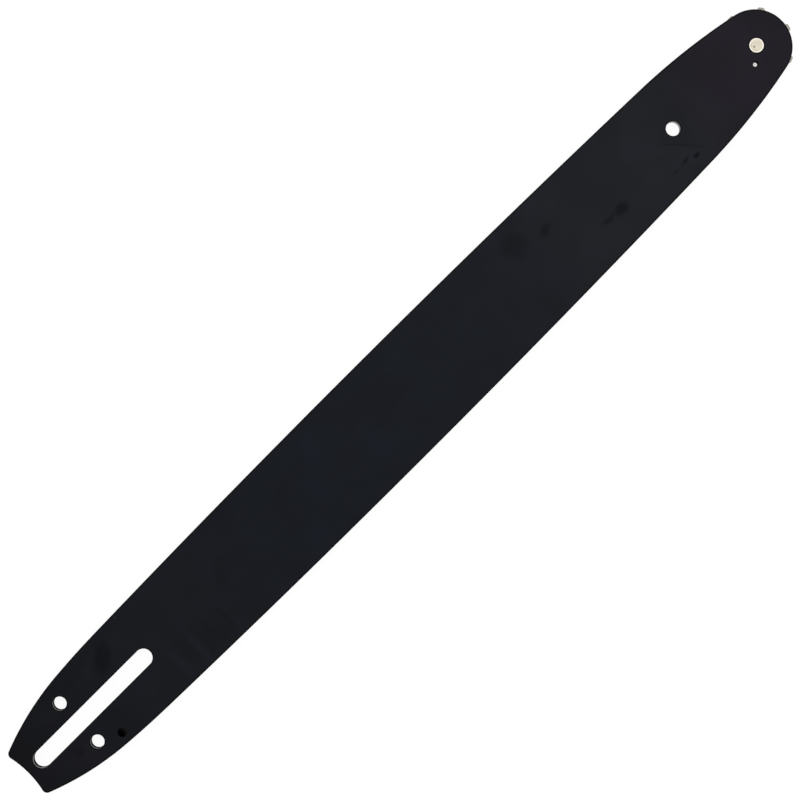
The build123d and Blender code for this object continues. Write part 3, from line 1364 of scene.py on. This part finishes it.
@dataclass
class NoseBearing:
    """The inner race and the full set of needle rollers that the sprocket turns on.

    Attributes:
        race_corner: How round the race's corners are.
        roller_corner: How round a roller's ends are.
        dimple_radius: Radius of the centre mark in a roller's end.
        dimple_depth: How deep that mark is.
        corner_segments: How many strips make a round.
        race_steps: How many steps make the race's turn.
        roller_steps: How many steps make a roller's turn.
        steel: The ground finish of race and rollers.
        greased_and_shaded: The finish of their round corners: dark with grease and with painted shade.
    """

    race_corner: float = 0.15
    roller_corner: float = 0.4
    dimple_radius: float = 0.28
    dimple_depth: float = 0.14
    corner_segments: int = 4
    race_steps: int = 96
    roller_steps: int = 40
    steel: GroundSteel = GroundSteel("ground_bearing_steel", "#dcdad5", "#b9b6b0", 0.26, Lay.ROUND, 0.22)
    greased_and_shaded: GroundSteel = GroundSteel("greased_and_shaded_bearing_steel", "#1f1b16", "#14110d", 0.4, Lay.ROUND, 0.22)

    def build(self) -> None:
        """Builds the race and then each roller."""
        self.build_race()
        for node in sorted(name for name in frame["nodes"] if name.startswith("needle_roller")):
            self.build_roller(node)

    def build_race(self) -> None:
        """Turns the race, a ring with round corners, whose bore is as wide as in the CAD."""
        low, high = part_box("bearing_inner_race")
        centre = (low + high) / 2
        corners = frame["nodes"]["bearing_inner_race"].data.vertices
        bore = min((corner.co - centre).xy.length for corner in corners) / MM
        outer, half = (high.x - low.x) / 2 / MM, (high.z - low.z) / 2 / MM
        profile = [(bore, -half), (outer, -half), (outer, half), (bore, half), (bore, -half)]
        mesh = spun_ring(centre, profile, self.race_steps)
        fitting = Fitting("inner_race", "bar", "bearing_inner_race", "bearing_steel")
        self.dress(mesh, self.race_corner, fitting)

    def build_roller(self, node: str) -> None:
        """Turns one roller, with a centre mark in each end.

        Args:
            node: The CAD node of the roller.
        """
        low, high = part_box(node)
        radius, half = (high.x - low.x) / 2 / MM, (high.z - low.z) / 2 / MM
        profile = [(0.0, half - self.dimple_depth), (self.dimple_radius, half), (radius, half)]
        mirrored = [(across, -height) for across, height in reversed(profile)]
        mesh = spun_ring((low + high) / 2, profile + mirrored, self.roller_steps)
        self.dress(mesh, self.roller_corner, Fitting(f"{node}_turned", "rollers", node, "bearing_steel"))

    def dress(self, mesh: bmesh.types.BMesh, corner: float, fitting: Fitting) -> None:
        """Grinds a turned piece, and darkens its round corners with grease and painted shade.

        Args:
            mesh: The piece.
            corner: How round its corners are.
            fitting: How it belongs to the frame.
        """
        for face in round_rims(mesh, corner, self.corner_segments):
            face.material_index = BearingSurface.GREASED_AND_SHADED.value
        fit_piece(mesh, fitting, [self.steel.material(), self.greased_and_shaded.material()])


@dataclass
class NoseRivet:
    """The one rivet that holds the nose together, upset flush into both plates.

    Attributes:
        head_depth: How deep the countersunk head goes. Its side slopes at 45 degrees.
        rim_width: The width of the flat rim of a head.
        dish_slope: How wide the slope is from the rim down to the dished middle.
        dish_depth: How far the middle lies below the rim.
        edge_round: How round the head's edge is.
        round_segments: How many strips make that round.
        turn_steps: How many steps make the turn.
        steel: Its finish.
    """

    head_depth: float = 0.6
    rim_width: float = 0.45
    dish_slope: float = 0.4
    dish_depth: float = 0.06
    edge_round: float = 0.05
    round_segments: int = 3
    turn_steps: int = 128
    steel: RivetSteel = RivetSteel()

    def build(self) -> None:
        """Turns the rivet from the middle of one head to the middle of the other."""
        low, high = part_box("nose_rivet")
        head, half = (high.x - low.x) / 2 / MM, (high.z - low.z) / 2 / MM
        dish = head - self.rim_width
        profile = [
            (0.0, half - self.dish_depth),
            (dish - self.dish_slope, half - self.dish_depth),
            (dish, half),
            (head, half),
            (head - self.head_depth, half - self.head_depth),
        ]
        mirrored = [(across, -height) for across, height in reversed(profile)]
        mesh = spun_ring((low + high) / 2, profile + mirrored, self.turn_steps)
        round_rims(mesh, self.edge_round, self.round_segments)
        self.dress(mesh)

    def dress(self, mesh: bmesh.types.BMesh) -> None:
        """Finishes the rivet's heads.

        Args:
            mesh: The rivet.
        """
        fitting = Fitting("flush_nose_rivet", "bar", "nose_rivet", "rivet_steel")
        fit_piece(mesh, fitting, [self.steel.material()])


@dataclass(frozen=True)
class Softbox:
    """One large lamp with a soft edge.

    Attributes:
        name: What it is for.
        place: Where it hangs, in metres.
        side: The length of its sides, in metres.
        power: Its power, in watts.
    """

    name: str
    place: tuple[float, float, float]
    side: float
    power: float


@dataclass
class Studio:
    """The floor, the light and the camera.

    Attributes:
        floor_size: The floor's side, in metres.
        floor_gap: How far the floor lies under the bar.
        floor_grey: The floor's own colour.
        floor_glow: How much of the floor's white doesn't depend on the lamps.
        floor_shade: How much of it does, which is what the bar's shadow takes away.
        room_white: The colour of the room's light.
        zenith: The light of the room straight overhead.
        horizon: The light of the room near the floor.
        softboxes: The lamps: one over the nose, and one on each side.
        camera_across: Where the camera looks straight down, along X.
        camera_along: The same, along Y.
        camera_height: The camera's height above the bar's front face.
        picture_width: The picture's width, in pixels.
        focal_pixels: The lens's focal length, in pixels of the picture.
        sensor_width: The camera's sensor.
        axis_in_picture: The angle of the bar's long axis above the picture's level, in degrees.
    """

    floor_size: float = 40.0
    floor_gap: float = 0.02
    floor_grey: str = "#e8e8e8"
    floor_glow: float = 0.92
    floor_shade: float = 0.12
    room_white: str = "#ffffff"
    zenith: float = 0.42
    horizon: float = 0.3
    softboxes: tuple[Softbox, ...] = (
        Softbox("overhead_softbox", (0.0, 1.06, 2.0), 1.6, 8.0),
        Softbox("key_softbox", (-1.5, -0.1, 1.4), 1.3, 14.0),
        Softbox("fill_softbox", (1.5, 0.3, 1.3), 1.3, 11.0),
    )
    camera_across: float = -0.50
    camera_along: float = 210.18
    camera_height: float = 800.0
    picture_width: float = 800.0
    focal_pixels: float = 1657.0
    sensor_width: float = 36.0
    axis_in_picture: float = 44.967

    def build(self) -> None:
        """Sets the stage."""
        self.build_floor()
        self.build_room()
        for softbox in self.softboxes:
            self.build_softbox(softbox)
        self.build_camera()
        bpy.context.scene.view_settings.view_transform = "Standard"

    def build_floor(self) -> None:
        """Lays a plain pale floor just under the bar, white to the eye and soft with the bar's shadow."""
        mesh = bmesh.new()
        bmesh.ops.create_grid(mesh, x_segments=1, y_segments=1, size=self.floor_size / 2)
        bmesh.ops.translate(mesh, verts=mesh.verts, vec=(0.0, 0.0, CAD_BOX[0].z - self.floor_gap * MM))
        data = bpy.data.meshes.new("studio_floor")
        mesh.to_mesh(data)
        mesh.free()
        data.materials.append(self.floor_material())
        floor = bpy.data.objects.new("studio_floor", data)
        bpy.context.scene.collection.objects.link(floor)

    def floor_material(self) -> bpy.types.Material:
        """Builds the floor's finish: matt paper that light bounces off, and white where it is looked at.

        Returns:
            The material.
        """
        material, tree = new_material("matt_white_paper")
        rays = add_node(tree, "LightPath").outputs
        seen = rays["Is Camera Ray"]
        for ray in ("Is Glossy Ray", "Is Transmission Ray"):
            seen = add_node(tree, "Math", {0: seen, 1: rays[ray]}, operation="ADD", use_clamp=True)
        paper = add_node(tree, "BsdfDiffuse", {"Color": linear(self.floor_grey)})
        shaded = add_node(tree, "BsdfDiffuse", {"Color": (*[self.floor_shade] * 3, 1.0)})
        glow = add_node(tree, "Emission", {"Strength": self.floor_glow})
        looked_at = add_node(tree, "AddShader", {0: shaded, 1: glow})
        mix = add_node(tree, "MixShader", {0: seen, 1: paper, 2: looked_at})
        add_node(tree, "OutputMaterial", {"Surface": mix})
        return material

    def build_room(self) -> None:
        """Lights the room evenly from above, and dimmer near the floor."""
        world = bpy.data.worlds.new("studio_room")
        world.use_nodes = True
        tree = world.node_tree
        tree.nodes.clear()
        direction = add_node(tree, "TexCoord").outputs["Generated"]
        height = add_node(tree, "SeparateXYZ", {0: direction}).outputs["Z"]
        level = add_node(tree, "MapRange", {"Value": height, "To Min": self.horizon, "To Max": self.zenith})
        light = add_node(tree, "Background", {"Color": linear(self.room_white), "Strength": level})
        add_node(tree, "OutputWorld", {"Surface": light})
        bpy.context.scene.world = world

    def build_softbox(self, softbox: Softbox) -> None:
        """Hangs one lamp and turns it to the middle of the bar.

        Args:
            softbox: The lamp.
        """
        data = bpy.data.lights.new(softbox.name, "AREA")
        data.shape = "SQUARE"
        data.size = softbox.side
        data.energy = softbox.power
        lamp = bpy.data.objects.new(softbox.name, data)
        bpy.context.scene.collection.objects.link(lamp)
        lamp.location = softbox.place
        aim = (CAD_BOX[0] + CAD_BOX[1]) / 2
        lamp.rotation_euler = (aim - lamp.location).to_track_quat("-Z", "Y").to_euler()
        lamp.visible_camera = False

    def build_camera(self) -> None:
        """Hangs the camera over the bar, looking straight down, with the nose at the upper right."""
        data = bpy.data.cameras.new("portrait_camera")
        data.sensor_width = self.sensor_width
        data.lens = self.focal_pixels / self.picture_width * self.sensor_width
        camera = bpy.data.objects.new("portrait_camera", data)
        bpy.context.scene.collection.objects.link(camera)
        front_face = CAD_BOX[1].z / MM
        camera.location = metres(self.camera_across, self.camera_along, front_face + self.camera_height)
        camera.rotation_euler = (0.0, 0.0, math.radians(90.0 - self.axis_in_picture))
        bpy.context.scene.camera = camera


def main() -> None:
    """Builds the stage, then each sub-assembly of the bar from the rails in to the nose."""
    logging.basicConfig(level=logging.INFO, format="%(name)s: %(message)s")
    for assembly in (Studio(), SidePlates(), Core(), NoseSprocket(), NoseBearing(), NoseRivet()):
        assembly.build()
        LOG.info("%s is done", type(assembly).__name__)


if __name__ == "__main__":
    main()
